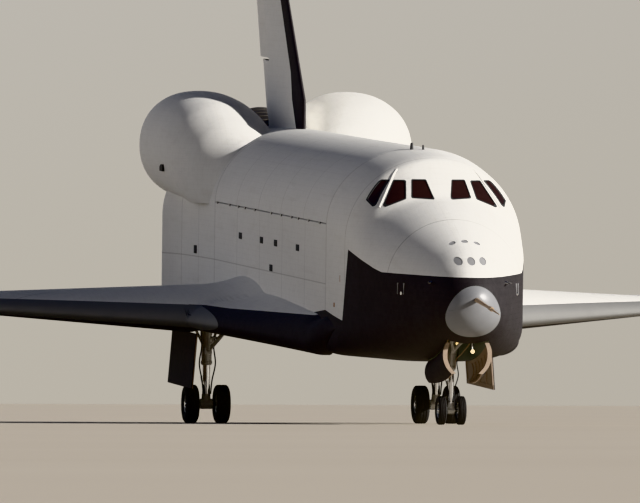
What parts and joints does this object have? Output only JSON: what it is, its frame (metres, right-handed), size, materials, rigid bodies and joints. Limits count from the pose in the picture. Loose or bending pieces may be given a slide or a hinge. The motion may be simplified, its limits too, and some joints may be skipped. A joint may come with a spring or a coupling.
{
  "type": "space shuttle orbiter",
  "caption": "Full-size winged spaceplane parked on its gear, with opening payload bay, elevons, rudder, body flap, crew hatch and nose boom.",
  "frame": {"origin": "on the ground under the middle of the length", "axes": "nose towards -Y, port side towards +X, up +Z; the airframe is pitched nose-down as it parks"},
  "size_m": [23.801, 39.9071, 17.3194],
  "materials": {
    "bell": "dull dark metal bell",
    "black": "matt black coated foam tile",
    "boom": "tan paint",
    "chrome": "polished piston",
    "door": "dark outer coat over tan structure",
    "edge": "matt grey moulded panels",
    "glass": "dark clear glass",
    "hub": "bare forged alloy",
    "inside": "grey-green cabin paint",
    "nose": "matt grey-blue moulded cap",
    "seat": "dark padded seat",
    "strut": "grey painted steel",
    "tyre": "ribbed rubber",
    "white": "matt white coated foam tile and painted panel"
  },
  "bodies": {
    "airframe": {"aft_fuselage": "white", "air_data_boom": "boom", "engine_nozzle_port": "bell", "engine_nozzle_starboard": "bell", "engine_nozzle_upper": "bell", "flight_deck_floor": "inside", "forward_fuselage": "white", "forward_thruster_module": "white", "instrument_panel": "inside", "main_gear_door_port": "door", "main_gear_door_starboard": "door", "main_gear_drag_brace_port": "strut", "main_gear_drag_brace_starboard": "strut", "main_gear_leg_port": "strut", "main_gear_leg_starboard": "strut", "main_gear_piston_port": "chrome", "main_gear_piston_starboard": "chrome", "mid_fuselage": "white", "nose_cap": "nose", "nose_gear_door_port": "door", "nose_gear_door_starboard": "door", "nose_gear_drag_brace": "strut", "nose_gear_leg": "strut", "oms_nozzle_port": "bell", "oms_nozzle_starboard": "bell", "oms_pod_port": "white", "oms_pod_starboard": "white", "seat_port": "seat", "seat_starboard": "seat", "vertical_fin": "white", "windshield_glass": "glass", "wing_leading_edge_port": "edge", "wing_leading_edge_starboard": "edge", "wing_port": "white", "wing_starboard": "white"},
    "crew_hatch": {"crew_hatch": "white"},
    "body_flap": {"body_flap": "black"},
    "rudder": {"rudder_spine": "white"},
    "nose_steering": {"nose_gear_piston": "chrome"},
    "nose_wheels": {"nose_tyre_port": "tyre", "nose_tyre_starboard": "tyre", "nose_wheel_hubs": "hub"},
    "payload_bay_door_port": {"payload_bay_door_port": "white"},
    "speed_brake_panel_port": {"speed_brake_panel_port": "white"},
    "elevon_inboard_port": {"elevon_inboard_port": "white"},
    "elevon_outboard_port": {"elevon_outboard_port": "white"},
    "main_wheels_port": {"main_tyre_port_inner": "tyre", "main_tyre_port_outer": "tyre", "main_wheel_hubs_port": "hub"},
    "payload_bay_door_starboard": {"payload_bay_door_starboard": "white"},
    "speed_brake_panel_starboard": {"speed_brake_panel_starboard": "white"},
    "elevon_inboard_starboard": {"elevon_inboard_starboard": "white"},
    "elevon_outboard_starboard": {"elevon_outboard_starboard": "white"},
    "main_wheels_starboard": {"main_tyre_starboard_inner": "tyre", "main_tyre_starboard_outer": "tyre", "main_wheel_hubs_starboard": "hub"}
  },
  "joints": [
    {"name": "crew_hatch_hinge", "type": "hinge", "parent": "airframe", "child": "crew_hatch", "pos_m": [2.305, -11.58105, 3.59457], "axis": [0.207, 0.9772, 0.0467], "range_deg": [0, 90]},
    {"name": "payload_bay_door_hinge_port", "type": "hinge", "parent": "airframe", "child": "payload_bay_door_port", "pos_m": [2.685, 1.36274, 6.12768], "axis": [0, 0.9989, 0.0478], "range_deg": [0, 175.5]},
    {"name": "elevon_hinge_inboard_port", "type": "hinge", "parent": "airframe", "child": "elevon_inboard_port", "pos_m": [5.686, 12.74269, 3.36466], "axis": [0.9992, -0.0019, 0.0394], "range_deg": [-29, 26]},
    {"name": "elevon_hinge_outboard_port", "type": "hinge", "parent": "airframe", "child": "elevon_outboard_port", "pos_m": [9.92, 12.73485, 3.52868], "axis": [0.9993, -0.0018, 0.0379], "range_deg": [-29, 26]},
    {"name": "payload_bay_door_hinge_starboard", "type": "hinge", "parent": "airframe", "child": "payload_bay_door_starboard", "pos_m": [-2.685, 1.36274, 6.12768], "axis": [0, -0.9989, -0.0478], "range_deg": [0, 175.5]},
    {"name": "elevon_hinge_inboard_starboard", "type": "hinge", "parent": "airframe", "child": "elevon_inboard_starboard", "pos_m": [-5.686, 12.74269, 3.36466], "axis": [0.9992, 0.0019, -0.0394], "range_deg": [-29, 26]},
    {"name": "elevon_hinge_outboard_starboard", "type": "hinge", "parent": "airframe", "child": "elevon_outboard_starboard", "pos_m": [-9.92, 12.73485, 3.52868], "axis": [0.9993, 0.0018, -0.0379], "range_deg": [-29, 26]},
    {"name": "body_flap_hinge", "type": "hinge", "parent": "airframe", "child": "body_flap", "pos_m": [0, 16.41417, 3.69378], "axis": [1, 0, 0], "range_deg": [-22.55, 11.7]},
    {"name": "rudder_hinge", "type": "hinge", "parent": "airframe", "child": "rudder", "pos_m": [0, 16.71503, 13.6395], "axis": [0, 0.5314, 0.8471], "range_deg": [-27.1, 27.1]},
    {"name": "speed_brake_hinge_port", "type": "hinge", "parent": "rudder", "child": "speed_brake_panel_port", "pos_m": [0, 16.71503, 13.6395], "axis": [0, -0.5314, -0.8471], "range_deg": [-1.5, 47.3]},
    {"name": "speed_brake_hinge_starboard", "type": "hinge", "parent": "rudder", "child": "speed_brake_panel_starboard", "pos_m": [0, 16.71503, 13.6395], "axis": [0, 0.5314, 0.8471], "range_deg": [-1.5, 47.3]},
    {"name": "nose_steering_pivot", "type": "hinge", "parent": "airframe", "child": "nose_steering", "pos_m": [0, -12.79222, 0.80554], "axis": [0, -0.0478, 0.9989], "range_deg": [-10, 10]},
    {"name": "nose_wheel_spin", "type": "hinge", "parent": "nose_steering", "child": "nose_wheels", "pos_m": [0, -12.77312, 0.406], "axis": [1, 0, 0], "continuous": true},
    {"name": "main_wheel_spin_port", "type": "hinge", "parent": "airframe", "child": "main_wheels_port", "pos_m": [3.455, 7.51144, 0.565], "axis": [1, 0, 0], "continuous": true},
    {"name": "main_wheel_spin_starboard", "type": "hinge", "parent": "airframe", "child": "main_wheels_starboard", "pos_m": [-3.455, 7.51144, 0.565], "axis": [1, 0, 0], "continuous": true}
  ],
  "couplings": [
    {"joint": "speed_brake_hinge_starboard", "follows": "speed_brake_hinge_port", "ratio": 1}
  ]
}
